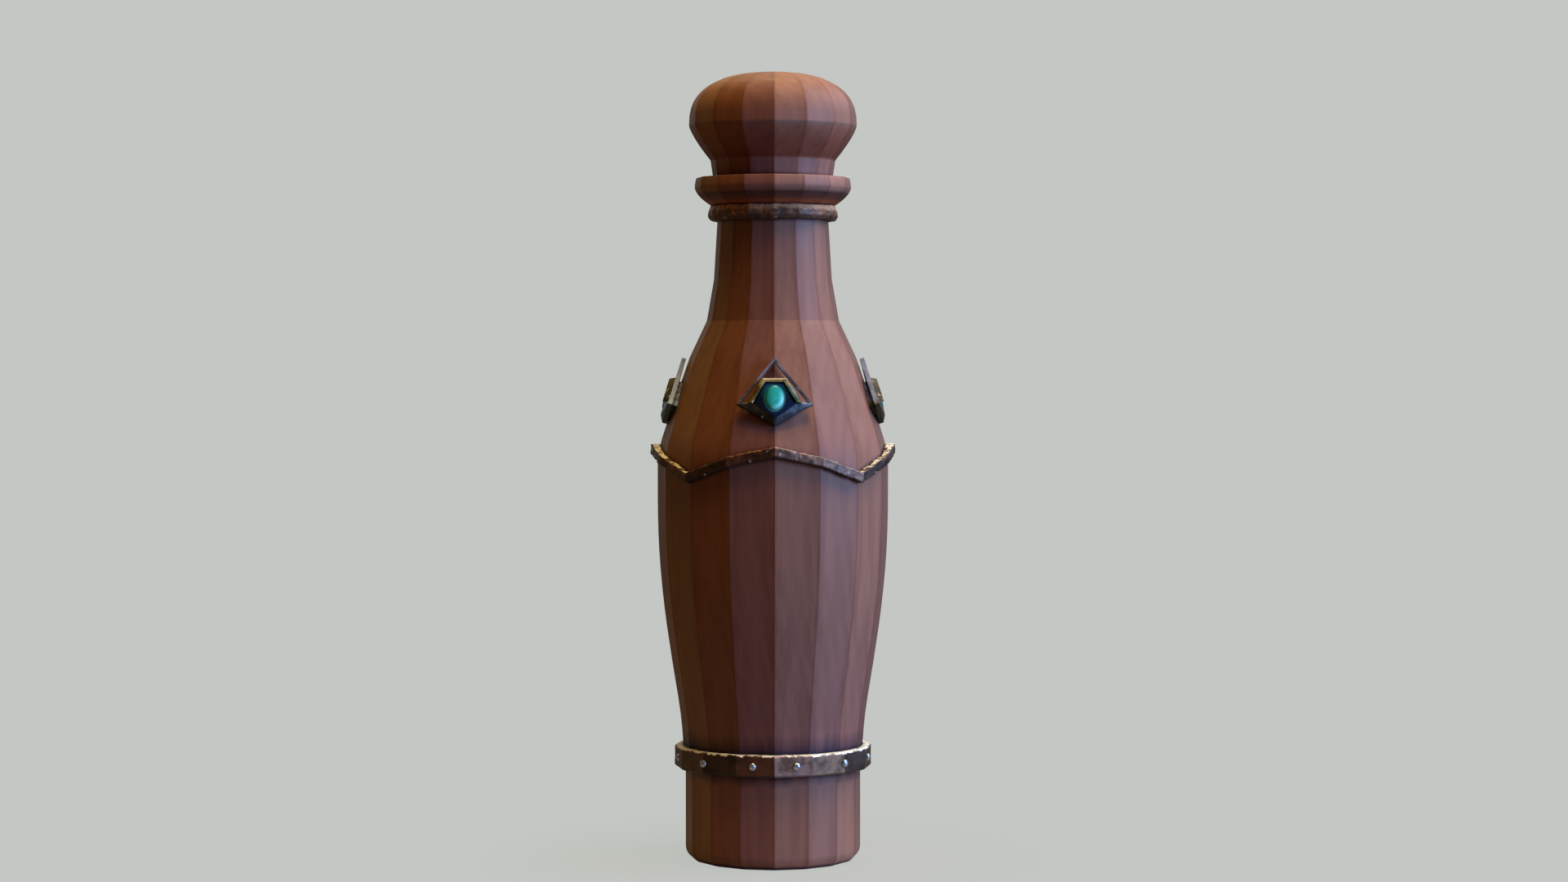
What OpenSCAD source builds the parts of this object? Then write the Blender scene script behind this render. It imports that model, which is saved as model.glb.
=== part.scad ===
// A faceted wooden bottle with a glass flask inside, metal bands and set stones.
// It stands on the XY plane with its axis on Z, and its front ridge points along -Y.

/* [Form] */
// Number of flat sides round the turned pieces, a multiple of four
sides = 16; // [12:4:24]

/* [Foot] */
// How much narrower the foot is than the body at their joint
foot_step = 0.4; // [0:0.1:0.8]
// Height of the foot, up to its joint with the body
foot_h = 32; // [22:0.5:40]
// Width of the rounding of the foot's bottom edge
foot_round = 3.6; // [0.5:0.1:4.5]
// Height of the rounding of the foot's bottom edge
foot_round_h = 4.2; // [0.8:0.1:5]
// Height of the round spigot that carries the body and the flask
spigot_h = 7; // [6:0.5:12]

/* [Body] */
// Radius of the body at its ridges, at the joint with the foot
base_r = 28.5; // [26:0.1:31]
// Radius of the body at its ridges, at the belly
belly_r = 37; // [35.8:0.1:38.4]
// Radius of the body at its ridges, where the shoulder starts
shoulder_r = 34.4; // [33.5:0.1:35.5]
// Radius of the body at its ridges, at the top of the shoulder
throat_r = 26.7; // [26:0.1:28]
// Radius of the neck at its ridges, at its foot
neck_foot_r = 21.2; // [20.5:0.1:22.5]
// Radius of the neck at its ridges, above its flare
neck_mid_r = 18.9; // [18.4:0.1:20]
// Radius of the neck at its ridges, at the top
neck_r = 17.8; // [17:0.1:18.4]
// Height from the foot's joint to the belly
swell_h = 85; // [70:1:100]
// Height of the belly's upright band
belly_h = 10; // [6:0.5:14]
// Height over which the belly turns into the shoulder
turn_h = 12; // [9:0.5:15]
// Height of the straight shoulder that carries the mounts
shoulder_h = 22.2; // [20:0.1:26]
// Height from the top of the shoulder to the foot of the neck
throat_h = 11.7; // [8:0.1:14]
// Height of the neck's flare
flare_h = 13.2; // [9:0.1:18]
// Height of the neck above its flare
neck_h = 23.6; // [19:0.1:30]

/* [Flask] */
// Thinnest wall of the wood round the flask's barrel
barrel_cover = 3.65; // [3:0.05:6]
// Wall of the flask's barrel
flask_wall = 1.8; // [1.2:0.1:3]
// Thickness of the flask's bottom
flask_bottom = 3; // [2:0.1:5]
// Height of the flask's straight barrel
flask_barrel_h = 86; // [70:1:92]
// Height of the flask's rounded shoulder
flask_shoulder_h = 28; // [22:1:34]
// Wall of the flask's neck
flask_neck_wall = 1.7; // [1.2:0.1:2.4]

/* [Lip] */
// How far the lip collar's bottom stands out from the neck
lip_foot = 2; // [1.5:0.1:3.5]
// How far the lip collar flares out above its bottom
lip_flare = 5.3; // [4:0.1:6.5]
// How far the lip collar draws in again at its top
lip_fall = 0.5; // [0.4:0.1:1.6]
// Height of the lip collar
lip_h = 8.9; // [8:0.1:11]
// Width of the step between the neck's flat sides and the round tenon
tenon_step = 2.75; // [1.5:0.05:3.5]
// Wall of the tenon that the lip collar is glued on
tenon_wall = 2.1; // [1.6:0.1:2.6]
// Height of the tenon
tenon_h = 6; // [4:0.1:7]

/* [Stopper] */
// Radius of the stopper's head at its ridges
head_r = 26.9; // [25:0.1:28.5]
// Radius of the stopper's head at its ridges, where it meets the lip
waist_r = 19.2; // [18:0.1:21]
// How much wider the waist under the head is at its top
waist_flare = 0.8; // [0.3:0.1:1.2]
// Height of the waist under the head
waist_h = 5.6; // [4:0.1:7]
// Height from the waist to the head's widest ring
bulge_h = 11.1; // [9:0.1:13]
// Height of the stopper's head
head_h = 33.6; // [30:0.1:38]
// Radius of the dowel that joins head and cork
dowel_r = 4.5; // [3.5:0.1:5]
// Depth of the dowel in the head
dowel_grip = 14; // [10:0.5:18]
// Radius of the dowel's button under the cork
button_r = 7; // [6.4:0.1:7.6]
// Thickness of the dowel's button
button_t = 2; // [1.5:0.1:3]
// Length of the cork
cork_l = 28; // [20:0.5:32]
// How much thinner the cork is at its lower end
cork_taper = 0.9; // [0.4:0.1:1.4]

/* [Bands] */
// How far the base band stands out from the body's joint
band_out = 3.1; // [2:0.1:4]
// Height of the base band
band_h = 7; // [5.6:0.1:8]
// How far the base band reaches below the foot's joint
band_drop = 2.1; // [0.8:0.1:3]
// How far the neck ring stands out from the neck
ring_out = 3; // [2:0.1:4]
// Height of the neck ring
ring_h = 4.8; // [3:0.1:5.5]
// How far the neck ring's domed outside draws in at its edges
ring_fall = 0.8; // [0.4:0.1:1.2]
// How far the pointed shoulder band stands out from the belly
chevron_out = 2.3; // [1.2:0.1:3.2]
// Height of the shoulder band's section
chevron_h = 3.1; // [2:0.1:4]
// Height from the shoulder band's valleys to its points
chevron_rise = 8.3; // [6:0.1:10]
// Height of the shoulder band's valleys above the belly's lower ring
chevron_seat = 5.1; // [3:0.1:6]
// Bevel on the edges of the base band
band_bevel = 0.5; // [0.3:0.1:0.8]

/* [Rivets] */
// Radius of a rivet's domed head
rivet_head_r = 1.25; // [1:0.05:1.8]
// Height of a rivet's domed head
rivet_head_h = 0.8; // [0.5:0.05:1.2]
// Radius of a rivet's shank
rivet_r = 0.75; // [0.5:0.05:1]
// Length of a rivet's shank
rivet_l = 9; // [8:0.5:12]
// How far the rivets beside a mount's ridge sit from the middle of their flat side
rivet_shift = 0.9; // [0:0.1:2]

/* [Mounts] */
// Width of a mount across its side tips
mount_w = 23.8; // [22:0.1:26]
// Length of a mount from its bottom tip to its top point
mount_l = 21.9; // [21:0.1:23]
// Height of the side tips above the bottom tip
mount_tip_h = 6.8; // [6:0.1:8]
// Height of the bottom tip above the shoulder's start
mount_rise = 0.8; // [0.3:0.1:1]
// Angle by which a mount stands off the ridge towards its top
mount_lean = 2.4; // [1:0.1:4]
// Width of the rim round the mount
rim_w = 0.8; // [0.6:0.1:1.3]
// Thickness of the rim
rim_t = 1.4; // [1.3:0.1:2.2]
// Thickness of the saddle behind the stone
saddle_t = 0.8; // [0.5:0.1:1.2]
// Thickness of a wing at the mount's edge
wing_t = 1.5; // [1.2:0.1:2]
// Thickness of a wing where it meets the stone
wing_high_t = 2.6; // [2.4:0.1:3]

/* [Stones] */
// Width of a stone across its side corners
stone_w = 13.4; // [12.6:0.1:15]
// Width of a stone's upper edge
stone_top_w = 5.8; // [5:0.1:7]
// Length of a stone from its bottom corner to its upper edge
stone_l = 11.6; // [10:0.1:12]
// Height of the bottom corner above the mount's bottom tip
stone_rise = 1.8; // [1.6:0.1:2.2]
// Height of the side corners above the bottom corner
stone_side_h = 5; // [4:0.1:6]
// Thickness of a stone at its edge
stone_t = 1.5; // [1.2:0.1:1.9]
// Height and width of the slope round a stone's flat top
stone_slope = 0.4; // [0.2:0.1:0.6]
// Width of the oval dome on a stone
dome_w = 5.6; // [5:0.1:6.4]
// Length of the oval dome on a stone
dome_l = 8; // [7:0.1:8.6]
// Height of the oval dome above the stone's flat top
dome_h = 0.7; // [0.4:0.1:1]
// Height of the stone's collar above the mount's back
collar_t = 3.3; // [2.9:0.1:4]
// Width of the collar's wall at its top
collar_w = 0.9; // [0.6:0.1:1.2]
// How much wider the collar's wall is at its foot
collar_slope = 0.9; // [0.6:0.1:1.1]
// Radius of the two fixing posts behind a stone
post_r = 0.8; // [0.6:0.05:1]
// Length of the fixing posts behind the mount's back
post_l = 4; // [3:0.1:5]

/* [Hidden] */

WOOD = "#7d4a3c";
BRONZE = "#8c7648";
STEEL = "#9aa0a8";
GLASS = "#b9d8cc";
CORK = "#c49a6c";
STONE = "#1f8f9c";

// Clearance of a glued or pressed seat
seat_gap = 0.05;
// Clearance round the flask in the wood
flask_gap = 0.2;
// Running clearance of the cork in the mouth
cork_gap = 0.05;
// How far a cutting shape runs past what it cuts
overrun = 1;

// Distance to a flat side, as a share of the distance to a ridge
flat_share = cos(180 / sides);

// Radii that follow from the pieces within or around
foot_r = base_r - foot_step;
band_r = base_r + band_out;
ring_r = neck_r + ring_out;
chevron_r = belly_r + chevron_out;
flask_r = base_r * flat_share - barrel_cover - flask_gap;
tenon_r = neck_r * flat_share - tenon_step;
flask_neck_r = tenon_r - tenon_wall - flask_gap;
mouth_r = flask_neck_r - flask_neck_wall;
lip_bottom_r = neck_r + lip_foot;
lip_r = lip_bottom_r + lip_flare;
lip_top_r = lip_r - lip_fall;
// Longer than anything is wide
reach = 4 * chevron_r;

// Heights of the joints and rings, from the ground up
belly_z = foot_h + swell_h;
turn_z = belly_z + belly_h;
shoulder_z = turn_z + turn_h;
throat_z = shoulder_z + shoulder_h;
neck_foot_z = throat_z + throat_h;
neck_mid_z = neck_foot_z + flare_h;
neck_top_z = neck_mid_z + neck_h;
lip_z = neck_top_z + lip_h;
flask_z = foot_h + spigot_h;
flask_shoulder_z = flask_z + flask_barrel_h;
band_z = foot_h - band_drop;

// The swell from the foot's joint to the belly, as shares of its height and its growth
swell_shares = [[0, 0], [0.17, 0.14], [0.37, 0.455], [0.58, 0.755], [0.79, 0.945], [1, 1]];
// The lip collar's outside, as shares of its height and of its growth from the bottom
lip_shares = [[0, 0], [0.15, 0.36], [0.31, 0.665], [0.47, 0.88], [0.66, 1]];
// Steps of a curve between two of its points
curve_steps = 3;
// How the head's underside curves out to its widest ring: 1 is straight
bulge_power = 1.31;
// How full the head's crown is: 2 is an ellipse
crown_power = 2.55;
// The part of the crown's quarter turn that is drawn, before its small flat top
crown_turn = 86;
// Steps in the curves of the head's underside, its crown and the foot's bottom edge
bulge_steps = 7;
crown_steps = 12;
foot_steps = 9;
// Steps in the curve of the flask's shoulder
shoulder_steps = 10;
// Places of the rivets in each quarter, in flat sides from a mount's ridge
rivet_places = [0.5, sides / 8, sides / 4 - 0.5];
// Steps in the curve of a rivet's head
rivet_steps = 4;
// Height of a stone's dome and of the wings' inner corners, as a share of the stone's length
stone_middle_share = 0.58;
// How strongly the shoulder band's runs bow up between valley and point
chevron_bow = 1.4;

// A turned piece with flat sides, where slabs cross that are each as thick as the outline is wide.
// The outline is a list of [ridge radius, height] from the bottom up.
module faceted(outline) {
    last = len(outline) - 1;
    intersection_for (k = [0 : sides / 2 - 1])
        rotate([90, 0, (k + 0.5) * 360 / sides])
            linear_extrude(height = reach, center = true)
                polygon(concat(
                    [for (p = outline) [p[0] * flat_share, p[1]]],
                    [for (i = [last : -1 : 0]) [-outline[i][0] * flat_share, outline[i][1]]]));
}

// How fast the radius grows with height from one point to another.
function slope(a, b) = (b[0] - a[0]) / (b[1] - a[1]);

// A smooth curve through [radius, height] points, with the slopes at its two ends given.
function curved(points, first, last) =
    let (
        n = len(points) - 1,
        slopes = [for (i = [0 : n])
            i == 0 ? first : i == n ? last : slope(points[i - 1], points[i + 1])])
        concat(
            [for (i = [0 : n - 1], s = [0 : curve_steps - 1])
                let (
                    t = s / curve_steps,
                    rise = points[i + 1][1] - points[i][1],
                    growth = points[i + 1][0] - points[i][0])
                [points[i][0] + growth * t * t * (3 - 2 * t)
                    + rise * t * (1 - t) * (slopes[i] * (1 - t) - slopes[i + 1] * t),
                 points[i][1] + rise * t]],
            [points[n]]);

// Points from shares of a height and of a growth in radius.
function spread(shares, r, growth, z, h) = [for (s = shares) [r + s[1] * growth, z + s[0] * h]];

// The body's outside from the foot's joint to the neck's top, wider all round by grow.
function body_outline(grow = 0) =
    let (swell = spread(swell_shares, base_r, belly_r - base_r, foot_h, swell_h))
    [for (p = concat(
        curved(swell, slope(swell[0], swell[1]), 0),
        curved([[belly_r, turn_z], [shoulder_r, shoulder_z]], 0, -tan(ridge_angle)),
        [[throat_r, throat_z], [neck_foot_r, neck_foot_z],
         [neck_mid_r, neck_mid_z], [neck_r, neck_top_z - ring_h], [neck_r, neck_top_z]]))
        [p[0] + grow, p[1]]];

// The flask's shoulder, half a wave from the barrel's radius to the neck's.
function shoulder_curve(barrel_r, inner_r) = [
    for (i = [0 : shoulder_steps])
        let (t = i / shoulder_steps)
        [inner_r + (barrel_r - inner_r) * (1 + cos(180 * t)) / 2,
         flask_shoulder_z + flask_shoulder_h * t]];

// A round bottle form from bottom_z to end_z, with the given radii of its barrel and its neck.
module flask_form(barrel_r, inner_r, bottom_z, end_z) {
    rotate_extrude($fn = 96)
        polygon(concat(
            [[0, bottom_z], [barrel_r, bottom_z]],
            shoulder_curve(barrel_r, inner_r),
            [[inner_r, end_z], [0, end_z]]));
}

// Distance from the axis to the base band's outside, a number of flat sides from a ridge.
function band_side(place) = band_r * flat_share / cos((place % 1 - 0.5) * 360 / sides);

// Sets its children on the base band's outside at each rivet, with Z pointing outwards.
module at_rivets() {
    for (quarter = [0 : 3], i = [0 : 2])
        rotate([0, 0, quarter * 90 + rivet_places[i] * 360 / sides])
            translate([band_side(rivet_places[i]), (1 - i) * rivet_shift, band_z + band_h / 2])
                rotate([0, 90, 0])
                    children();
}

// The hole for a rivet's shank.
module rivet_hole() {
    translate([0, 0, -rivet_l - seat_gap])
        cylinder(r = rivet_r + seat_gap, h = rivet_l + seat_gap + overrun, $fn = 24);
}

// Lean of the shoulder's ridges, lean of the mounts, and the ridge point under a bottom tip
ridge_angle = atan((shoulder_r - throat_r) / shoulder_h);
mount_angle = ridge_angle - mount_lean;
mount_z = shoulder_z + mount_rise;
mount_r = shoulder_r - mount_rise * tan(ridge_angle);

// Sets its children on a shoulder ridge. They are drawn flat as seen from the front,
// with the mount's bottom tip at the origin, Y up the ridge and Z outwards.
module on_ridge(quarter) {
    rotate([0, 0, quarter * 90])
        translate([0, -mount_r, mount_z])
            rotate([90 - mount_angle, 0, 0])
                children();
}

// An outline with every edge moved out by w. Its corners run counter-clockwise.
function moved(points, w) = [
    for (i = [0 : len(points) - 1])
        let (
            before = points[(i + len(points) - 1) % len(points)],
            after = points[(i + 1) % len(points)],
            a = (points[i] - before) / norm(points[i] - before),
            b = (after - points[i]) / norm(after - points[i]),
            n = [a[1] + b[1], -a[0] - b[0]])
        points[i] + n * w / (1 + a * b)];

mount_points = [[0, 0], [mount_w / 2, mount_tip_h], [0, mount_l], [-mount_w / 2, mount_tip_h]];
stone_points = [
    [0, stone_rise],
    [stone_w / 2, stone_rise + stone_side_h],
    [stone_top_w / 2, stone_rise + stone_l],
    [-stone_top_w / 2, stone_rise + stone_l],
    [-stone_w / 2, stone_rise + stone_side_h]];
stone_middle = [0, stone_rise + stone_l * stone_middle_share];

module bottle_body() {
    color(WOOD)
        difference() {
            union() {
                faceted(body_outline());
                translate([0, 0, neck_top_z - overrun])
                    cylinder(r = tenon_r, h = tenon_h + overrun, $fn = 96);
            }
            flask_form(flask_r + flask_gap, flask_neck_r + flask_gap,
                       foot_h - overrun, lip_z + overrun);
            at_rivets() rivet_hole();
            for (quarter = [0 : 3])
                on_ridge(quarter) posts(post_r + seat_gap, post_l + seat_gap);
        }
}

module foot() {
    color(WOOD)
        difference() {
            union() {
                faceted(concat(
                    [for (i = [0 : foot_steps])
                        let (turn = 90 * i / foot_steps)
                        [foot_r - foot_round * (1 - sin(turn)), foot_round_h * (1 - cos(turn))]],
                    [[foot_r, foot_h]]));
                translate([0, 0, foot_h - overrun])
                    cylinder(r = flask_r + flask_gap - seat_gap, h = spigot_h + overrun, $fn = 96);
            }
            at_rivets() rivet_hole();
        }
}

module flask() {
    color(GLASS)
        difference() {
            flask_form(flask_r, flask_neck_r, flask_z, lip_z);
            flask_form(flask_r - flask_wall, mouth_r, flask_z + flask_bottom, lip_z + overrun);
        }
}

module lip_collar() {
    lip_bulge = spread(lip_shares, lip_bottom_r, lip_flare, neck_top_z, lip_h);
    color(WOOD)
        difference() {
            faceted(concat(
                curved(lip_bulge, slope(lip_bulge[0], lip_bulge[1]), 0),
                curved([lip_bulge[len(lip_bulge) - 1], [lip_top_r, lip_z]], 0, -lip_fall / lip_foot)));
            translate([0, 0, neck_top_z - overrun])
                cylinder(r = tenon_r + seat_gap, h = tenon_h + seat_gap + overrun, $fn = 96);
            translate([0, 0, neck_top_z])
                cylinder(r = flask_neck_r + flask_gap, h = lip_h + overrun, $fn = 96);
        }
}

module neck_ring() {
    low = neck_top_z - ring_h;
    color(BRONZE)
        difference() {
            faceted([[ring_r - ring_fall, low], [ring_r, low + ring_h * 0.3],
                     [ring_r, low + ring_h * 0.6], [ring_r - ring_fall, neck_top_z]]);
            faceted([[neck_r + seat_gap, low - overrun], [neck_r + seat_gap, neck_top_z + overrun]]);
        }
}

// A band with flat sides inside and out, bevelled along its outer edges.
module base_band() {
    high = band_z + band_h;
    ridges = [for (p = body_outline(seat_gap)) [p[1], p[0]]];
    inner_r = lookup(high, ridges);
    color(BRONZE)
        difference() {
            faceted([[band_r - band_bevel, band_z], [band_r, band_z + band_bevel],
                     [band_r, high - band_bevel], [band_r - band_bevel, high]]);
            faceted([[inner_r, band_z - overrun], [inner_r, high + overrun]]);
            at_rivets() rivet_hole();
        }
}

module base_band_rivets() {
    dome = [for (i = [0 : rivet_steps])
        [rivet_head_r * cos(90 * i / rivet_steps), rivet_head_h * sin(90 * i / rivet_steps)]];
    color(STEEL)
        at_rivets()
            rotate_extrude($fn = 32)
                polygon(concat([[0, -rivet_l], [rivet_r, -rivet_l], [rivet_r, 0]], dome));
}

// How high the shoulder band runs over its valleys at ridge k: the points are over the mounts' ridges.
function chevron_lift(k) =
    let (quarter = sides / 4, t = abs(1 - 2 * (k % quarter) / quarter))
    chevron_rise * (1 - pow(1 - t, chevron_bow));

module shoulder_band() {
    low = belly_z + chevron_seat;
    inner_r = shoulder_r - chevron_h;
    section = [[inner_r, 0], [chevron_r, 0], [chevron_r, chevron_h], [inner_r, chevron_h]];
    points = [for (k = [0 : sides - 1], c = section)
        let (a = k * 360 / sides)
        [c[0] * cos(a), c[0] * sin(a), low + chevron_lift(k) + c[1]]];
    sheets = [for (k = [0 : sides - 1], c = [0 : 3])
        let (next = (k + 1) % sides, d = (c + 1) % 4)
        [4 * k + c, 4 * k + d, 4 * next + d, 4 * next + c]];
    halves = [for (f = sheets) each [[f[0], f[1], f[2]], [f[0], f[2], f[3]]]];
    color(BRONZE)
        difference() {
            polyhedron(points = points, faces = halves);
            faceted(body_outline(seat_gap));
        }
}

module stopper_head() {
    waist_top_r = waist_r + waist_flare;
    crown_z = lip_z + waist_h + bulge_h;
    crown_h = head_h - waist_h - bulge_h;
    bulge = [for (i = [0 : bulge_steps])
        let (rise = sin(90 * i / bulge_steps))
        [waist_top_r + (head_r - waist_top_r) * (1 - pow(1 - rise, bulge_power)),
         crown_z - bulge_h * (1 - rise)]];
    crown = [for (i = [1 : crown_steps])
        let (turn = crown_turn * i / crown_steps)
        [head_r * pow(cos(turn), 2 / crown_power),
         crown_z + crown_h * pow(sin(turn) / sin(crown_turn), 2 / crown_power)]];
    color(WOOD)
        difference() {
            faceted(concat([[waist_r, lip_z]], bulge, crown));
            translate([0, 0, lip_z - overrun])
                cylinder(r = dowel_r + seat_gap, h = dowel_grip + seat_gap + overrun, $fn = 48);
        }
}

module stopper_dowel() {
    color(WOOD)
        union() {
            translate([0, 0, lip_z - cork_l])
                cylinder(r = dowel_r, h = cork_l + dowel_grip, $fn = 48);
            translate([0, 0, lip_z - cork_l - button_t])
                cylinder(r = button_r, h = button_t, $fn = 48);
        }
}

module stopper_cork() {
    color(CORK)
        difference() {
            translate([0, 0, lip_z - cork_l])
                cylinder(r1 = mouth_r - cork_gap - cork_taper, r2 = mouth_r - cork_gap,
                         h = cork_l, $fn = 96);
            translate([0, 0, lip_z - cork_l - overrun])
                cylinder(r = dowel_r + seat_gap, h = cork_l + 2 * overrun, $fn = 48);
        }
}

// Two fixing posts behind the stone, one above the other.
module posts(r, l) {
    for (y = [stone_rise + stone_side_h, stone_rise + stone_l - stone_side_h / 2])
        translate([0, y, -l])
            cylinder(r = r, h = l + saddle_t / 2, $fn = 24);
}

// The space over the slope that runs down to the bottom tip.
module tip_bevel() {
    translate([0, 0, wing_t])
        rotate([atan((collar_t - wing_t) / (2 * stone_rise)), 0, 0])
            translate([-mount_w, -mount_l, 0])
                cube([2 * mount_w, 2 * mount_l, 2 * collar_t]);
}

// The collar's outside, whose three walls lean in towards the top, larger all round by grow.
// They end at the stone's side corners, below which the wings hold the stone.
module collar_form(grow) {
    intersection() {
        translate([0, 0, saddle_t])
            hull() {
                linear_extrude(height = rim_t - saddle_t)
                    polygon(moved(stone_points, collar_w + collar_slope + grow));
                linear_extrude(height = collar_t - saddle_t)
                    polygon(moved(stone_points, collar_w + grow));
            }
        linear_extrude(height = 2 * collar_t)
            polygon([mount_points[3] + [0, -grow], mount_points[1] + [0, -grow], mount_points[2]]);
    }
}

// The pocket for the stone.
module stone_pocket() {
    translate([0, 0, saddle_t])
        linear_extrude(height = 2 * collar_t)
            polygon(moved(stone_points, seat_gap));
}

// The right wing under the stone, which slopes from the stone's edge down to the mount's edge.
module wing() {
    hull() {
        linear_extrude(height = wing_t)
            polygon([mount_points[0], mount_points[1], stone_points[1]]);
        linear_extrude(height = wing_high_t)
            polygon([stone_points[0], stone_points[1], stone_middle]);
    }
}

// A mount: a kite-shaped rim, two wings and a saddle that is cut to fit the wood behind it.
module mount(quarter) {
    color(BRONZE)
        union() {
            difference() {
                on_ridge(quarter)
                    difference() {
                        union() {
                            linear_extrude(height = rim_t)
                                difference() {
                                    polygon(mount_points);
                                    polygon(moved(mount_points, -rim_w));
                                }
                            wing();
                            mirror([1, 0, 0]) wing();
                            translate([0, 0, -mount_w / 4])
                                linear_extrude(height = mount_w / 4 + saddle_t)
                                    polygon(moved(stone_points, collar_w));
                        }
                        collar_form(seat_gap);
                        stone_pocket();
                        tip_bevel();
                    }
                faceted(body_outline(seat_gap));
            }
            on_ridge(quarter) posts(post_r, post_l);
        }
}

// The collar round a stone's upper sides: three walls with their foot on the saddle.
module collar(quarter) {
    color(BRONZE)
        on_ridge(quarter)
            difference() {
                collar_form(0);
                stone_pocket();
            }
}

// A stone: five sides, a slope round its flat top, an oval dome and its bottom corner bevelled.
module stone(quarter) {
    top = saddle_t + stone_t + stone_slope;
    color(STONE)
        on_ridge(quarter)
            difference() {
                union() {
                    translate([0, 0, saddle_t])
                        hull() {
                            linear_extrude(height = stone_t)
                                polygon(stone_points);
                            linear_extrude(height = stone_t + stone_slope)
                                polygon(moved(stone_points, -stone_slope));
                        }
                    intersection() {
                        translate([stone_middle[0], stone_middle[1], top])
                            scale([dome_w / 2, dome_l / 2, dome_h])
                                sphere(r = 1, $fn = 48);
                        translate([-stone_w / 2, 0, top - dome_h / 2])
                            cube([stone_w, mount_l, collar_t]);
                    }
                }
                tip_bevel();
            }
}

module mount_front() { mount(0); }
module mount_right() { mount(1); }
module mount_back() { mount(2); }
module mount_left() { mount(3); }
module collar_front() { collar(0); }
module collar_right() { collar(1); }
module collar_back() { collar(2); }
module collar_left() { collar(3); }
module stone_front() { stone(0); }
module stone_right() { stone(1); }
module stone_back() { stone(2); }
module stone_left() { stone(3); }

bottle_body();
foot();
flask();
lip_collar();
neck_ring();
shoulder_band();
base_band();
base_band_rivets();
stopper_head();
stopper_dowel();
stopper_cork();
mount_front();
mount_right();
mount_back();
mount_left();
collar_front();
collar_right();
collar_back();
collar_left();
stone_front();
stone_right();
stone_back();
stone_left();
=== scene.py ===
"""Looks of the stoppered wooden bottle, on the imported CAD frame.

Metres, +Z up, the origin under the foot's centre, and the front ridge along -Y.
"""
import math

import bpy
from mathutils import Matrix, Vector


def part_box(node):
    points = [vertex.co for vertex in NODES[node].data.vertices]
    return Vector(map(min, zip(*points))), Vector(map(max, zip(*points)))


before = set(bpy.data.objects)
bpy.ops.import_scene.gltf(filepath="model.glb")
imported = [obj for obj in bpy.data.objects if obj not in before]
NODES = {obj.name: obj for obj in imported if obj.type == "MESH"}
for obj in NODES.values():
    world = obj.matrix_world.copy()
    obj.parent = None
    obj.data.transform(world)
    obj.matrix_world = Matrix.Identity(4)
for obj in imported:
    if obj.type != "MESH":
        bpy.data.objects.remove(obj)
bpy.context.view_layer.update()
MM = 0.001

# The photograph's frame and the view that was fitted to it
SENSOR = 36.0
LENS = 70.0
VIEW_AZIMUTH = math.radians(-0.9)
VIEW_DISTANCE = 0.979
VIEW_HEIGHT = 0.1617
VIEW_PITCH = math.radians(1.6)
VIEW_YAW = math.radians(0.208)
NEAR_CLIP = 0.01

# The bottle's form, rounded from the CAD: its flat sides, and the foot of each mount's own frame,
# which leans inwards by an angle in degrees
SIDES = 16
MOUNT_R = 34.12 * MM
MOUNT_Z = 139.8 * MM
MOUNT_ANGLE = 16.7
SIDE_NAMES = ("front", "right", "back", "left")

# The painted glow, a bright oval in a stone, in its mount's own frame: the centre, and the half
# width and height
GLOW_CENTRE = (-0.1 * MM, 8.5 * MM)
GLOW_HALF = (3.3 * MM, 4.3 * MM)

# Widths of the softened edges, and the least angles in degrees at which an edge is softened
WOOD_EDGE = 0.35 * MM
MOUNT_EDGE = 0.12 * MM
COLLAR_EDGE = 0.10 * MM
STONE_EDGE = 0.10 * MM
WOOD_LIMIT = 12
FINE_LIMIT = 8
# The size of the grid on which the hammered bands are meshed again
BAND_VOXEL = 0.35 * MM

# How far up and down from the base band a painted shadow darkens the wood
BAND_SHADOW_UP = 6 * MM
BAND_SHADOW_DOWN = 3.5 * MM

# The kinds of wood tone, and the one on each of the sixteen flat sides, from the left through the
# front and round the back. On the eight sides from the left round to the right they are painted
# light and shade; on the eight behind they differ at random.
WOOD_TONES_AND_SHADES = dict(
    plain=(1.00, 1.00, 0.98),
    brown=(0.92, 0.94, 0.90),
    rose=(1.01, 1.03, 1.04),
    olive=(0.92, 1.03, 0.62),
    russet=(0.76, 0.66, 0.56),
    wine=(0.75, 0.65, 0.72),
    dusk=(0.62, 0.60, 0.65))
WOOD_ORDER = ("olive olive russet wine rose rose rose dusk "
              "plain brown rose plain brown plain brown rose").split()
WOOD_SIDES_LIT_AND_SHADED = [WOOD_TONES_AND_SHADES[name] for name in WOOD_ORDER]

# Tones of the metal bands' flat sides, in the same order: patina, with painted light and shade on
# the eight sides from the left round to the right
PATINAS_AND_SHADES = dict(
    plain=(0.95, 0.93, 0.90),
    olive=(0.68, 0.58, 0.30),
    black=(0.28, 0.20, 0.10),
    rust=(0.60, 0.32, 0.15),
    silver=(1.50, 1.47, 1.42),
    smoke=(0.27, 0.24, 0.23),
    ash=(1.85, 1.90, 2.00),
    sand=(1.50, 1.50, 1.10))
PATINA_ORDER = ("olive olive black rust silver silver smoke smoke "
                "plain olive plain rust plain smoke plain olive").split()
BASE_ORDER = ("olive olive black rust ash sand smoke smoke "
              "plain olive plain rust plain smoke plain olive").split()
BAND_PATINA_AND_SHADE = [PATINAS_AND_SHADES[name] for name in PATINA_ORDER]
BASE_PATINA_AND_SHADE = [PATINAS_AND_SHADES[name] for name in BASE_ORDER]
# How bright the shoulder band's upper side is made under each patina, by wear and a painted
# highlight
TOP_WEAR_AND_HIGHLIGHT = dict(plain=0.8, olive=1.0, black=0.1, rust=0.15, silver=0.25, smoke=1.0)
BAND_TOP_WEAR_AND_HIGHLIGHT = [(TOP_WEAR_AND_HIGHLIGHT[name],) * 3 for name in PATINA_ORDER]
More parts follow.
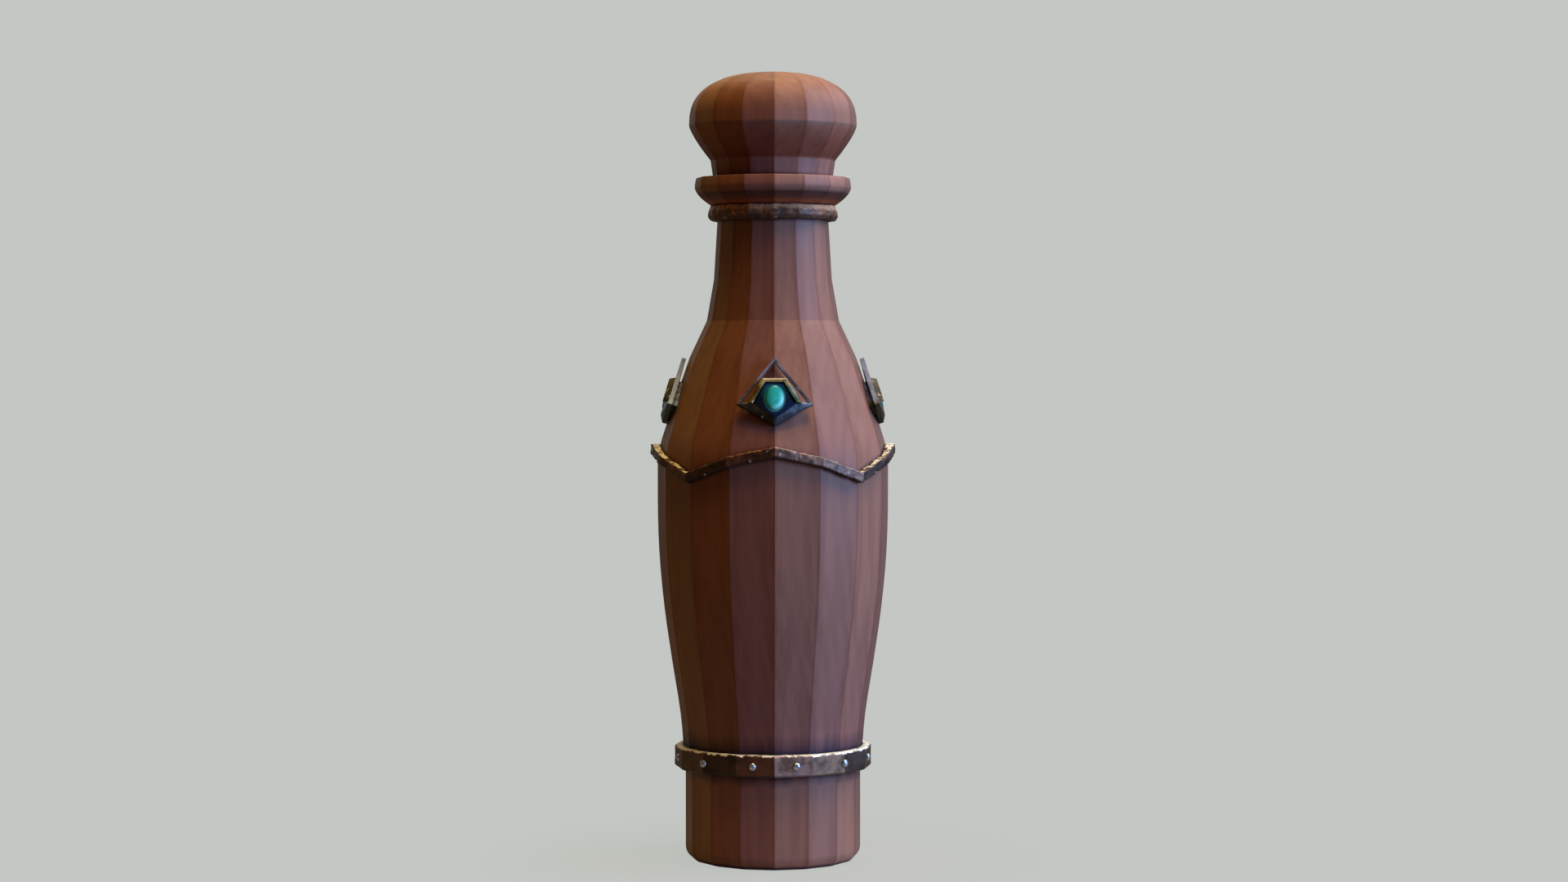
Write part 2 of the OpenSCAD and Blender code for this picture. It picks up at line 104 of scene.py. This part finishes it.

# Tones by height above the ground, in metres. They follow the turned form. On the head and the lip
# they are painted light and shade: the head lighter at its waist and darker under its widest part,
# the lip lighter at its top, darker in its hollow and warmer at its lower edge. The body is darker
# towards the bottom.
HEAD_SHADES = [(0.2190, (1.15, 1.05, 1.05)), (0.2238, (1.12, 1.00, 1.00)), (0.2248, (0.74, 0.46, 0.38)),
               (0.2290, (0.80, 0.52, 0.42)), (0.2335, (1.02, 0.82, 0.72)), (0.2346, (1.0, 1.0, 1.0))]
LIP_SHADES = [(0.2090, (0.62, 0.38, 0.34)), (0.2104, (1.25, 0.64, 0.33)), (0.2116, (0.42, 0.28, 0.28)),
              (0.2132, (0.26, 0.19, 0.24)), (0.2142, (1.0, 1.0, 1.0)), (0.2180, (1.25, 1.30, 1.35))]
BODY_SHADES = [(0.0440, (0.86, 0.84, 0.98)), (0.0900, (1.0, 1.0, 1.0))]

# The background's colour, in linear light
BACKDROP = (0.552, 0.571, 0.546)
# How bright the room in front of the bottle is in reflections, as a share of the background
ROOM_SHARE = 0.12
# The room's own dim light
ROOM_COLOUR = (1.0, 0.40, 0.04)
ROOM_STRENGTH = 0.083
# Half the floor's width, and the radius within which it keeps the bottle's shadow
FLOOR_HALF = 3
SHADOW_RADIUS = 0.11
# The height that the lamps face, and how far they are from it
AIM_HEIGHT = 0.13
LAMP_DISTANCE = 1.1


# Node trees

class Tree:
    """The node tree of a new material or world, with a short call for each kind of node used here.

    An input is a number, a tuple or the output socket of another node.
    """

    def __init__(self, owner):
        owner.use_nodes = True
        self.owner = owner
        self.nodes = owner.node_tree.nodes
        self.links = owner.node_tree.links
        self.nodes.clear()

    def put(self, socket, value):
        """Sets or links one input."""
        if isinstance(value, bpy.types.NodeSocket):
            self.links.new(value, socket)
        elif isinstance(value, tuple) and len(value) == 3 and socket.type == "RGBA":
            socket.default_value = (*value, 1.0)
        else:
            socket.default_value = value

    def add(self, kind, inputs=None, **settings):
        """Adds one node, with its settings and the inputs that are named."""
        node = self.nodes.new("ShaderNode" + kind)
        for key, value in settings.items():
            setattr(node, key, value)
        for key, value in (inputs or {}).items():
            self.put(node.inputs[key], value)
        return node

    def place(self):
        """The place on the piece, in the row frame."""
        return self.add("TexCoord").outputs["Object"]

    def parts(self, vector):
        """The x, y and z of a vector."""
        return self.add("SeparateXYZ", {0: vector}).outputs

    def math(self, operation, *values):
        """One sum on numbers."""
        return self.add("Math", dict(enumerate(values)), operation=operation).outputs[0]

    def length(self, x, y):
        """The length of a flat vector."""
        squares = self.math("ADD", self.math("MULTIPLY", x, x), self.math("MULTIPLY", y, y))
        return self.math("SQRT", squares)

    def span(self, value, low, high, to_low=0.0, to_high=1.0, smooth=True):
        """Maps value from low..high to to_low..to_high and stops at the ends."""
        kind = "SMOOTHSTEP" if smooth else "LINEAR"
        node = self.add("MapRange", {0: value, 1: low, 2: high, 3: to_low, 4: to_high},
                        interpolation_type=kind)
        return node.outputs[0]

    def mix(self, factor, a, b, blend="MIX"):
        """Mixes two colours."""
        node = self.add("Mix", {0: factor, 6: a, 7: b}, data_type="RGBA", blend_type=blend)
        return node.outputs[2]

    def shade(self, colour, by):
        """Multiplies one colour by another."""
        return self.mix(1.0, colour, by, blend="MULTIPLY")

    def ramp(self, factor, stops, interpolation="LINEAR"):
        """A colour ramp from a list of places between 0 and 1 and their colours."""
        node = self.add("ValToRGB", {0: factor})
        elements = node.color_ramp.elements
        node.color_ramp.interpolation = interpolation
        while len(elements) < len(stops):
            elements.new(0.5)
        for i, stop in enumerate(stops):
            elements[i].position = stop[0]
        for i, stop in enumerate(stops):
            elements[i].color = (*stop[1], 1.0)
        return node.outputs[0]

    def noise(self, place, scale, detail, roughness):
        """Value of a noise texture."""
        node = self.add("TexNoise", {"Vector": place, "Scale": scale, "Detail": detail,
                                     "Roughness": roughness})
        return node.outputs["Fac"]

    def moved(self, place, location=(0, 0, 0), rotation=(0, 0, 0), scale=(1, 1, 1), kind="POINT"):
        """A place moved, turned and stretched."""
        node = self.add("Mapping", {"Vector": place, "Location": location,
                                    "Rotation": rotation, "Scale": scale}, vector_type=kind)
        return node.outputs[0]

    def bump(self, height, distance, strength):
        """A bumped normal."""
        node = self.add("Bump", {"Height": height, "Distance": distance, "Strength": strength})
        return node.outputs[0]

    def close(self, shader, output="OutputMaterial"):
        """Closes the tree with a shader node, and gives back the material or world."""
        self.add(output, {0: shader.outputs[0]})
        return self.owner

    def finish(self, **inputs):
        """Closes the tree with a Principled shader. Underscores in the names stand for spaces."""
        names = {key.replace("_", " "): value for key, value in inputs.items()}
        return self.close(self.add("BsdfPrincipled", names))


# Materials

def painted_occlusion_shade(t, colour, reach, occlusion_tint):
    """Painted shade: darkens a colour where surfaces meet, as far out as reach; the open stays as it
    is.
    """
    near = t.add("AmbientOcclusion", {"Distance": reach}, samples=8).outputs["AO"]
    return t.shade(colour, t.mix(t.span(near, 0.35, 0.95), occlusion_tint, (1.0, 1.0, 1.0)))


def turn_in_sides(t, parts):
    """The turn about the axis, counted in flat sides: -8 on the left, -4 in front, 0 on the right."""
    return t.math("MULTIPLY", t.math("ARCTAN2", parts[1], parts[0]), SIDES / math.tau)


def side_tones(t, parts, tones):
    """A colour for each flat side, from the left side through the front and round the back."""
    side = t.math("FLOOR", turn_in_sides(t, parts))
    share = t.math("DIVIDE", t.math("ADD", side, SIDES / 2 + 0.5), float(SIDES))
    return t.ramp(share, [(i / SIDES, tone) for i, tone in enumerate(tones)], "CONSTANT")


def shades_by_height(t, z, shades):
    """A colour that changes evenly with height, from a list of heights and colours."""
    low, high = shades[0][0], shades[-1][0]
    stops = [((height - low) / (high - low), shade) for height, shade in shades]
    return t.ramp(t.span(z, low, high, smooth=False), stops)


def wood(name, light, dark, edge, bloom, seed, ridge=0.3, band_shadow=None, shades=None):
    """Turned and faceted hardwood: growth rings, fibres, darker ridges and a paler bloom, with painted
    light and shade on its flat sides, tones by height, and painted shade where surfaces meet.

    A painted shadow is laid beside a metal edge when its height is given, with the height where it
    ends.
    """
    t = Tree(bpy.data.materials.new(name))
    place = t.place()
    parts = t.parts(place)

    pith = t.moved(place, location=(0.013 + seed * 0.004, 0.017 - seed * 0.005, 0.0),
                   rotation=(0.045, 0.03, seed))
    rings = t.add("TexWave", {"Vector": pith, "Scale": 120.0, "Distortion": 2.5, "Detail": 2.0,
                              "Detail Scale": 0.3, "Detail Roughness": 0.6},
                  wave_type="RINGS", rings_direction="Z", wave_profile="SIN").outputs["Fac"]
    fibres = t.noise(t.moved(place, scale=(1.0, 1.0, 0.035)),
                     scale=1500.0, detail=4.0, roughness=0.65)
    streaks = t.noise(t.moved(place, location=(seed, 0, 0), scale=(1.0, 1.0, 0.05)),
                      scale=260.0, detail=3.0, roughness=0.55)
    clouds = t.noise(t.moved(place, location=(0, seed, 0)), scale=38.0, detail=3.0, roughness=0.5)

    share = t.math("FRACT", t.math("ADD", turn_in_sides(t, parts), float(SIDES)))
    nearer = t.math("MINIMUM", share, t.math("SUBTRACT", 1.0, share))
    radius = t.length(parts[0], parts[1])
    from_ridge = t.math("MULTIPLY", t.math("MULTIPLY", nearer, radius), math.tau / SIDES / MM)
    ragged = t.math("ADD", from_ridge, t.span(fibres, 0.3, 0.7, -0.18, 0.18))
    on_ridge = t.span(ragged, 0.15, 0.85, ridge, 0.0)
    middle = t.span(nearer, 0.08, 0.42)

    grain = t.math("ADD", t.math("MULTIPLY", rings, 0.07),
                   t.math("ADD", t.math("MULTIPLY", streaks, 0.63), t.math("MULTIPLY", fibres, 0.30)))
    colour = t.mix(t.span(grain, 0.36, 0.64), dark, light)
    colour = t.mix(t.math("MULTIPLY", middle, t.span(clouds, 0.35, 0.7, 0.18, 0.36)), colour, bloom)
    colour = t.mix(on_ridge, colour, edge)
    # Each flat side's tone: painted light and shade on the sides in front, tone that differs at random
    # behind
    colour = t.shade(colour, side_tones(t, parts, WOOD_SIDES_LIT_AND_SHADED))
    # Tones by height: painted light and shade on the head and the lip, darker towards the bottom on the
    # body
    if shades:
        colour = t.shade(colour, shades_by_height(t, parts[2], shades))
    # Painted shade where surfaces meet
    colour = painted_occlusion_shade(t, colour, reach=1.8 * MM, occlusion_tint=(0.30, 0.27, 0.40))
    # Painted shadow beside the base band
    if band_shadow:
        height = t.math("ADD", parts[2], t.span(streaks, 0.3, 0.7, -0.8 * MM, 0.8 * MM))
        band_shadow_tone = t.mix(t.span(height, *band_shadow, smooth=False), (0.20, 0.20, 0.45), (1.0, 1.0, 1.0))
        colour = t.shade(colour, band_shadow_tone)

    relief = t.math("ADD", t.math("MULTIPLY", fibres, 0.6), t.math("MULTIPLY", streaks, 0.4))
    return t.finish(
        Base_Color=colour,
        Roughness=t.span(fibres, 0.3, 0.7, 0.48, 0.64),
        Specular_IOR_Level=0.22,
        Normal=t.bump(relief, 0.25 * MM, 0.22))


def hammered(name, dark, mid, worn, metallic, rough, dent=360.0, spot=620.0, flecks=(0.60, 0.70),
             rim=None, tones=None, top_wear_and_highlight=None, quarter=None, side_light_and_shade=None):
    """Aged cast or beaten metal: dents, bright flecks, painted shade and upper sides made bright.

    Hollows and undersides get painted shade and upper sides painted light, and upper sides are made
    bright by wear and a painted highlight. dent and spot say how fine the dents and the flecks are.
    rim is the height of an upper edge that is made bright on the outside too, by wear and a painted
    highlight, and how far down. The tones for the left and right lower parts of a mount or collar at
    the given quarter turn are painted light and shade, given with the height that they reach.
    """
    t = Tree(bpy.data.materials.new(name))
    place = t.place()
    parts = t.parts(place)
    patches = t.noise(place, scale=210.0, detail=4.0, roughness=0.6)
    spots = t.noise(t.moved(place, location=(0.3, 0.1, 0.2)), scale=spot, detail=3.0, roughness=0.6)
    grit = t.noise(place, scale=1900.0, detail=3.0, roughness=0.6)
    dents = t.add("TexVoronoi", {"Vector": place, "Scale": dent, "Smoothness": 0.8},
                  feature="SMOOTH_F1").outputs["Distance"]
    colour = t.mix(t.span(patches, 0.36, 0.62), dark, mid)
    # Each flat side's tone: patina, with painted light and shade on the sides in front
    if tones:
        colour = t.shade(colour, side_tones(t, parts, tones))
    # Painted light on one lower side of a mount or collar and painted shade on the other
    if side_light_and_shade:
        across = t.math("MULTIPLY", parts[quarter % 2], 1.0 if quarter < 2 else -1.0)
        tone = t.mix(t.span(across, -1 * MM, 1 * MM), side_light_and_shade[0], side_light_and_shade[1])
        low = t.span(parts[2], side_light_and_shade[2], side_light_and_shade[2] + 2 * MM, 1.0, 0.0)
        colour = t.mix(low, colour, t.shade(colour, tone))
    # Painted light and shade: parts that face up are lighter, parts that face down darker
    up = t.parts(t.add("NewGeometry").outputs["Normal"])[2]
    facing_light_and_shade = t.mix(t.span(up, -0.5, 0.6, smooth=False), (0.36, 0.36, 0.40), (1.6, 1.6, 1.6))
    colour = t.shade(colour, facing_light_and_shade)
    # Upper sides made bright, partly by wear and partly by a painted highlight of light from above
    ragged = t.math("ADD", up, t.span(spots, 0.3, 0.7, -0.09, 0.09))
    bright = t.math("MULTIPLY", t.span(ragged, 0.88, 0.98), t.span(grit, 0.35, 0.6, 0.55, 1.0))
    if top_wear_and_highlight:
        bright = t.math("MULTIPLY", bright, side_tones(t, parts, top_wear_and_highlight))
    # An upper edge made bright by wear and a painted highlight
    if rim:
        height = t.math("ADD", parts[2], t.span(spots, 0.3, 0.7, -0.45 * MM, 0.45 * MM))
        bright = t.math("MAXIMUM", bright, t.span(height, rim[0] - rim[1], rim[0] - rim[1] / 2))
    bright = t.math("MAXIMUM", bright, t.span(spots, *flecks, 0.0, 0.7))
    colour = t.mix(bright, colour, worn)
    relief = t.math("ADD", t.math("MULTIPLY", dents, 0.8), t.math("MULTIPLY", grit, 0.25))
    # The base colour gets painted shade where surfaces meet
    return t.finish(
        Base_Color=painted_occlusion_shade(t, colour, reach=2.0 * MM, occlusion_tint=(0.30, 0.30, 0.38)),
        Metallic=metallic,
        Specular_IOR_Level=0.3,
        Roughness=t.span(patches, 0.35, 0.65, *rough),
        Normal=t.bump(relief, 0.35 * MM, 0.45))


def stone_glass(name, quarter):
    """Dark blue glass with a painted teal glow, highlight and shade, drawn in the mount's own frame."""
    t = Tree(bpy.data.materials.new(name))
    place = t.place()
    turn = math.radians(quarter * 90)
    origin = (MOUNT_R * math.sin(turn), -MOUNT_R * math.cos(turn), MOUNT_Z)
    local = t.moved(place, location=origin, rotation=(math.radians(90 - MOUNT_ANGLE), 0.0, turn),
                    kind="TEXTURE")
    parts = t.parts(local)
    x, y = (t.math("DIVIDE", t.math("SUBTRACT", part, centre), half)
            for part, centre, half in zip(parts, GLOW_CENTRE, GLOW_HALF))
    oval = t.length(x, y)
    inside = t.span(oval, 0.60, 1.15, 1.0, 0.0)
    low_right = t.math("SUBTRACT", t.math("MULTIPLY", x, 0.6), t.math("MULTIPLY", y, 0.5))
    # Painted highlight along the lower right of the oval
    painted_highlight_arc = t.math("MULTIPLY", t.span(oval, 0.42, 0.74), t.span(low_right, 0.05, 0.6))
    clouds = t.noise(place, scale=420.0, detail=3.0, roughness=0.5)
    # The glass darker on its left and lighter on its right: painted shade and light
    body = t.mix(t.span(parts[0], -4.5 * MM, 5.0 * MM), (0.0005, 0.003, 0.010), (0.001, 0.016, 0.060))
    body = t.mix(t.span(parts[1], 8.0 * MM, 13.0 * MM, 0.0, 0.6), body, (0.002, 0.085, 0.135))
    # Painted glow in the oval, with painted shade towards its left
    painted_glow = t.mix(t.span(clouds, 0.35, 0.65), (0.02, 0.40, 0.33), (0.04, 0.52, 0.44))
    painted_glow = t.mix(t.span(x, -1.0, -0.1, 0.75, 0.0), painted_glow, (0.004, 0.12, 0.13))
    painted_glow = t.mix(painted_highlight_arc, painted_glow, (0.25, 0.90, 0.80))
    colour = t.mix(inside, body, painted_glow)
    return t.finish(
        Base_Color=colour,
        Roughness=0.08,
        Specular_IOR_Level=0.35,
        Normal=t.bump(clouds, 0.05 * MM, 0.15))


def rivet_steel(name):
    """Worn steel with a gritty surface."""
    t = Tree(bpy.data.materials.new(name))
    place = t.place()
    grit = t.noise(place, scale=1600.0, detail=4.0, roughness=0.6)
    colour = t.mix(t.span(grit, 0.35, 0.65), (0.22, 0.23, 0.27), (0.48, 0.51, 0.57))
    # The base colour gets painted shade where surfaces meet
    return t.finish(
        Base_Color=painted_occlusion_shade(t, colour, reach=1.2 * MM, occlusion_tint=(0.2, 0.2, 0.26)),
        Metallic=0.9,
        Roughness=t.span(grit, 0.3, 0.7, 0.22, 0.42),
        Normal=t.bump(grit, 0.1 * MM, 0.25))


def cork(name):
    """Cork: pale brown grains with dark pores."""
    t = Tree(bpy.data.materials.new(name))
    place = t.place()
    cells = t.add("TexVoronoi", {"Vector": place, "Scale": 700.0}).outputs
    pores = t.noise(t.moved(place, scale=(1.0, 1.0, 2.2)), scale=330.0, detail=4.0, roughness=0.7)
    hole = t.span(pores, 0.62, 0.68)
    tone = t.add("SeparateColor", {0: cells["Color"]}).outputs[0]
    colour = t.mix(tone, (0.42, 0.25, 0.13), (0.58, 0.38, 0.22))
    colour = t.mix(hole, colour, (0.10, 0.045, 0.02))
    relief = t.math("SUBTRACT", t.math("MULTIPLY", cells["Distance"], 0.4), hole)
    return t.finish(Base_Color=colour, Roughness=0.85, Normal=t.bump(relief, 0.4 * MM, 0.5))


def clear_glass(name):
    """Slightly green glass with soft waves in its surface."""
    t = Tree(bpy.data.materials.new(name))
    place = t.place()
    waves = t.noise(place, scale=55.0, detail=1.0, roughness=0.4)
    return t.finish(
        Base_Color=(0.86, 0.95, 0.91),
        Roughness=0.03,
        IOR=1.5,
        Transmission_Weight=1.0,
        Normal=t.bump(waves, 0.3 * MM, 0.25))


# Pieces

def dress(node, material):
    """Gives a CAD node its material."""
    slots = NODES[node].material_slots
    for slot in slots:
        slot.material = material
    if not slots:
        NODES[node].data.materials.append(material)


def soften(node, width, limit):
    """Rounds the edges of a faceted node and keeps its sides flat. limit is in degrees."""
    obj = NODES[node]
    weld = obj.modifiers.new("weld", "WELD")
    weld.merge_threshold = 2e-6
    planes = obj.modifiers.new("planes", "DECIMATE")
    planes.decimate_type = "DISSOLVE"
    planes.angle_limit = math.radians(0.3)
    bevel = obj.modifiers.new("bevel", "BEVEL")
    bevel.width = width
    bevel.segments = 2
    bevel.limit_method = "ANGLE"
    bevel.angle_limit = math.radians(limit)
    bevel.harden_normals = False
    normals = obj.modifiers.new("normals", "WEIGHTED_NORMAL")
    normals.mode = "FACE_AREA"
    normals.weight = 90
    normals.keep_sharp = False


def beat(node, depth, size, seed):
    """Gives a metal band the uneven surface of hammer work. seed places the blows."""
    obj = NODES[node]
    remesh = obj.modifiers.new("remesh", "REMESH")
    remesh.mode = "VOXEL"
    remesh.voxel_size = BAND_VOXEL
    remesh.use_smooth_shade = True
    texture = bpy.data.textures.new(node + "_blows", "CLOUDS")
    texture.noise_scale = size
    texture.noise_depth = 2
    mover = bpy.data.objects.new(node + "_blows_place", None)
    mover.location = (seed * 0.037, seed * 0.021, 0.0)
    bpy.context.scene.collection.objects.link(mover)
    displace = obj.modifiers.new("blows", "DISPLACE")
    displace.texture = texture
    displace.texture_coords = "OBJECT"
    displace.texture_coords_object = mover
    displace.strength = depth
    displace.mid_level = 0.5


REDWOOD = dict(light=(0.276, 0.114, 0.067), dark=(0.210, 0.083, 0.048),
               edge=(0.100, 0.024, 0.013), bloom=(0.256, 0.124, 0.080))
BAND_LOW, BAND_HIGH = (corner[2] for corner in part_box("base_band"))
# The body and the foot get a painted shadow beside the base band
dress("bottle_body", wood("body_wood", seed=0.0, band_shadow=(BAND_HIGH, BAND_HIGH + BAND_SHADOW_UP),
                           shades=BODY_SHADES, **REDWOOD))
dress("foot", wood("foot_wood", seed=1.0, band_shadow=(BAND_LOW, BAND_LOW - BAND_SHADOW_DOWN), **REDWOOD))
dress("lip_collar", wood("lip_wood", seed=2.0, shades=LIP_SHADES, **REDWOOD))
dress("stopper_head", wood("head_wood", seed=3.0, shades=HEAD_SHADES, **REDWOOD))
dress("stopper_dowel", wood("dowel_wood", light=(0.42, 0.24, 0.13), dark=(0.27, 0.14, 0.07),
                            edge=(0.27, 0.14, 0.07), bloom=(0.40, 0.25, 0.15), seed=4.0, ridge=0.0))
dress("stopper_cork", cork("cork"))
dress("flask", clear_glass("flask_glass"))
for name in ("bottle_body", "foot", "lip_collar", "stopper_head"):
    soften(name, WOOD_EDGE, WOOD_LIMIT)

BRONZE = dict(dark=(0.070, 0.038, 0.022), mid=(0.165, 0.100, 0.072), worn=(0.84, 0.79, 0.60),
              metallic=0.15, rough=(0.45, 0.65))
# The neck ring's top edge is made bright by wear and a painted highlight
RING_BRONZE = {**BRONZE, "dark": (0.085, 0.034, 0.013), "mid": (0.220, 0.092, 0.040),
               "worn": (0.50, 0.235, 0.105), "flecks": (0.57, 0.70), "spot": 420.0,
               "rim": (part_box("neck_ring")[1][2], 2.0 * MM)}
# The shoulder band: patina with painted light and shade on its sides, and wear with a painted highlight
# on its upper sides
SHOULDER_BRONZE = {**BRONZE, "tones": BAND_PATINA_AND_SHADE, "top_wear_and_highlight": BAND_TOP_WEAR_AND_HIGHLIGHT, "flecks": (0.64, 0.74)}
# The base band's top edge is made bright by wear and a painted highlight
BASE_BRONZE = {**BRONZE, "tones": BASE_PATINA_AND_SHADE, "rim": (BAND_HIGH, 0.42 * MM),
               "flecks": (0.9, 1.0), "dent": 200.0}
for name, metal, depth, size, seed in (
        ("neck_ring", RING_BRONZE, 0.7 * MM, 2.6 * MM, 1.0),
        ("shoulder_band", SHOULDER_BRONZE, 0.8 * MM, 2.6 * MM, 2.0),
        ("base_band", BASE_BRONZE, 0.25 * MM, 4.0 * MM, 3.0)):
    dress(name, hammered(name + "_bronze", **metal))
    beat(name, depth, size, seed)
dress("base_band_rivets", rivet_steel("rivet_steel"))

# The mounts' and collars' lower sides get painted light on one side and painted shade on the other
MOUNT_METAL = dict(dark=(0.055, 0.055, 0.066), mid=(0.145, 0.145, 0.190), worn=(0.22, 0.22, 0.28),
                   metallic=0.45, dent=700.0, rough=(0.36, 0.55),
                   side_light_and_shade=((0.36, 0.27, 0.09), (1.2, 1.6, 1.45), MOUNT_Z + 6.5 * MM))
COLLAR_METAL = dict(dark=(0.12, 0.09, 0.035), mid=(0.30, 0.25, 0.11), worn=(0.80, 0.70, 0.44),
                    metallic=0.3, dent=700.0, rough=(0.36, 0.5),
                    side_light_and_shade=((0.36, 0.30, 0.12), (0.34, 0.62, 0.95), MOUNT_Z + 11.8 * MM))
# Copies for the left and right sides: a darker collar, which is painted shade, and a bluer mount
SHADED_SIDE_COLLAR = {**COLLAR_METAL, "dark": (0.030, 0.027, 0.014), "mid": (0.075, 0.064, 0.032),
               "flecks": (0.56, 0.66)}
COOL_MOUNT = {**MOUNT_METAL, "dark": (0.045, 0.055, 0.100), "mid": (0.115, 0.145, 0.270)}
for quarter, name in enumerate(SIDE_NAMES):
    mount = COOL_MOUNT if quarter % 2 else MOUNT_METAL
    dress("mount_" + name, hammered("mount_bronze_" + name, quarter=quarter, **mount))
    collar = SHADED_SIDE_COLLAR if quarter % 2 else COLLAR_METAL
    dress("collar_" + name, hammered("collar_brass_" + name, quarter=quarter, **collar))
    dress("stone_" + name, stone_glass("stone_glass_" + name, quarter))
    soften("mount_" + name, MOUNT_EDGE, FINE_LIMIT)
    soften("collar_" + name, COLLAR_EDGE, FINE_LIMIT)
    soften("stone_" + name, STONE_EDGE, FINE_LIMIT)


# Stage, lamps and camera

def stage_material(name, lit):
    """A pale surface that the camera sees in the photograph's background colour.

    lit is the radius within which the surface keeps the bottle's shadow.
    """
    t = Tree(bpy.data.materials.new(name))
    path = t.add("LightPath").outputs
    seen = t.math("MAXIMUM", path["Is Camera Ray"],
                  t.math("MAXIMUM", t.math("MULTIPLY", path["Is Glossy Ray"], ROOM_SHARE),
                         path["Is Transmission Ray"]))
    plain = t.add("Emission", {"Color": BACKDROP, "Strength": 1.0}).outputs[0]
    far = t.add("VectorMath", {0: t.place()}, operation="LENGTH").outputs["Value"]
    colour = t.mix(t.span(far, 0.05, 0.16), (0.42, 0.39, 0.35), (0.16, 0.12, 0.07))
    diffuse = t.add("BsdfDiffuse", {"Color": colour}).outputs[0]
    flat = t.math("MULTIPLY", seen, t.span(far, lit * 0.35, lit, 0.9, 1.0))
    return t.close(t.add("MixShader", {0: flat, 1: diffuse, 2: plain}))


def square_floor(half, material):
    """The flat floor under the bottle, as a stage piece."""
    mesh = bpy.data.meshes.new("floor")
    corners = [(-half, -half, 0), (half, -half, 0), (half, half, 0), (-half, half, 0)]
    mesh.from_pydata(corners, [], [(0, 1, 2, 3)])
    mesh.materials.append(material)
    obj = bpy.data.objects.new("floor", mesh)
    bpy.context.scene.collection.objects.link(obj)


def studio_world():
    """Dim light all round. The camera and clear glass see the pale background.

    In reflections the background stands behind the bottle, and the room in front is dim.
    """
    t = Tree(bpy.data.worlds.new("studio"))
    path = t.add("LightPath").outputs
    backwards = t.parts(t.add("TexCoord").outputs["Generated"])[1]
    behind = t.span(backwards, 0.35, 0.95, ROOM_SHARE, 1.0, smooth=False)
    mirrored = t.math("MULTIPLY", path["Is Glossy Ray"], behind)
    direct = t.math("MAXIMUM", path["Is Camera Ray"], path["Is Transmission Ray"])
    dim = t.add("Background", {"Color": ROOM_COLOUR, "Strength": ROOM_STRENGTH}).outputs[0]
    plain = t.add("Background", {"Color": BACKDROP, "Strength": 1.0}).outputs[0]
    both = t.add("MixShader", {0: t.math("MAXIMUM", mirrored, direct), 1: dim, 2: plain})
    bpy.context.scene.world = t.close(both, "OutputWorld")


def lamp(name, azimuth, elevation, size, power, colour):
    """A square lamp that faces the bottle's middle. Azimuth 0 is in front, 90 on the right."""
    a, e = math.radians(azimuth), math.radians(elevation)
    middle = Vector((0, 0, AIM_HEIGHT))
    direction = Vector((math.sin(a) * math.cos(e), -math.cos(a) * math.cos(e), math.sin(e)))
    place = middle + LAMP_DISTANCE * direction
    data = bpy.data.lights.new(name, "AREA")
    data.size = size
    data.energy = power
    data.color = colour
    obj = bpy.data.objects.new(name, data)
    obj.location = place
    obj.rotation_mode = "QUATERNION"
    obj.rotation_quaternion = (middle - place).to_track_quat("-Z", "Y")
    bpy.context.scene.collection.objects.link(obj)


square_floor(FLOOR_HALF, stage_material("pale_floor", lit=SHADOW_RADIUS))
studio_world()
lamp("top", azimuth=30, elevation=75, size=0.5, power=10.6, colour=(1.0, 0.70, 0.285))
lamp("high_right", azimuth=100, elevation=42, size=0.6, power=12.0, colour=(0.68, 0.77, 1.0))
lamp("low_right", azimuth=65, elevation=6, size=0.6, power=20.0, colour=(0.20, 0.44, 1.0))
lamp("high_back", azimuth=180, elevation=60, size=0.5, power=3.6, colour=(1.0, 0.82, 0.41))

camera_data = bpy.data.cameras.new("camera")
camera_data.lens = LENS
camera_data.sensor_width = SENSOR
camera_data.clip_start = NEAR_CLIP
camera = bpy.data.objects.new("camera", camera_data)
camera.location = (VIEW_DISTANCE * math.sin(VIEW_AZIMUTH), -VIEW_DISTANCE * math.cos(VIEW_AZIMUTH),
                   VIEW_HEIGHT)
camera.rotation_euler = (math.radians(90) - VIEW_PITCH, 0.0, VIEW_AZIMUTH - VIEW_YAW)
bpy.context.scene.collection.objects.link(camera)
bpy.context.scene.camera = camera

bpy.context.scene.view_settings.view_transform = "Standard"
